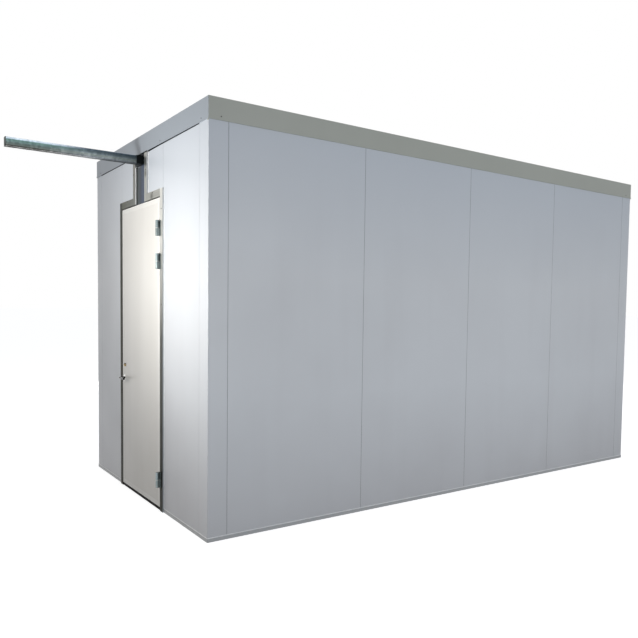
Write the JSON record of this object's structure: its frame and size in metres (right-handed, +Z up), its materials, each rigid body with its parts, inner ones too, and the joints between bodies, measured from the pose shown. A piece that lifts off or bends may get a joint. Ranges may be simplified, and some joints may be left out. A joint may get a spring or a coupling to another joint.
{
  "type": "walk-in cold room",
  "caption": "Walk-in cold room of insulated panels with a hinged lever-handled door and an overhead rail that enters through a slot above it.",
  "frame": {"origin": "on the floor, at the middle of the overall length and width, the outer end of the overhead rail included", "axes": "+X to the right along the front with the door, +Y from the front into the room, +Z up"},
  "size_m": [2.712, 6.151, 3.103],
  "materials": {
    "panel_skin": "white pre-painted steel sheet, low sheen",
    "leaf_skin": "white coated steel sheet, satin",
    "painted_trim": "pale grey painted folded sheet",
    "brushed_steel": "brushed stainless steel sheet",
    "galvanised_rail": "galvanised roll-formed steel",
    "hinge_zinc": "zinc-plated steel",
    "lock_chrome": "bright chromed metal",
    "lock_brass": "nickel-plated brass, worn at the edge",
    "rubber": "black rubber"
  },
  "bodies": {
    "room": {"back_wall_panel_1": "panel_skin", "back_wall_panel_2": "panel_skin", "base_channel_back": "painted_trim", "base_channel_front": "painted_trim", "base_channel_left": "painted_trim", "base_channel_right": "painted_trim", "ceiling_panel_1": "panel_skin", "ceiling_panel_2": "panel_skin", "ceiling_panel_3": "panel_skin", "ceiling_panel_4": "panel_skin", "corner_back_left": "panel_skin", "corner_back_right": "panel_skin", "corner_front_left": "panel_skin", "corner_front_right": "panel_skin", "cornice_back": "painted_trim", "cornice_front": "painted_trim", "cornice_left": "painted_trim", "cornice_right": "painted_trim", "door_frame_head": "brushed_steel", "door_frame_left": "brushed_steel", "door_frame_right": "brushed_steel", "door_head_panel_left": "panel_skin", "door_head_panel_right": "panel_skin", "front_wall_left": "panel_skin", "front_wall_right": "panel_skin", "hinge_frame_halves": "hinge_zinc", "left_wall_panel_1": "panel_skin", "left_wall_panel_2": "panel_skin", "left_wall_panel_3": "panel_skin", "left_wall_panel_4": "panel_skin", "overhead_rail": "galvanised_rail", "rail_end_stop": "galvanised_rail", "rail_hangers": "galvanised_rail", "right_wall_panel_1": "panel_skin", "right_wall_panel_2": "panel_skin", "right_wall_panel_3": "panel_skin", "right_wall_panel_4": "panel_skin", "slot_lips": "rubber", "slot_trims": "brushed_steel"},
    "door": {"door_leaf": "leaf_skin", "door_gasket": "rubber", "door_sweep": "rubber", "hinge_leaf_halves": "hinge_zinc", "lock_roses": "lock_chrome", "key_cylinder": "lock_brass"},
    "lever": {"lever_handle_outer": "lock_chrome", "lever_handle_inner": "lock_chrome"}
  },
  "joints": [
    {"name": "door_hinge", "type": "hinge", "parent": "room", "child": "door", "pos_m": [0.447, -2.0645, 0], "axis": [0, 0, 1], "range_deg": [0, 120]},
    {"name": "lever_turn", "type": "hinge", "parent": "door", "child": "lever", "pos_m": [-0.436, -2.0425, 1.01], "axis": [0, 1, 0], "range_deg": [0, 45], "stiffness_Nm_per_rad": 1.5, "springref_deg": -20.05}
  ]
}
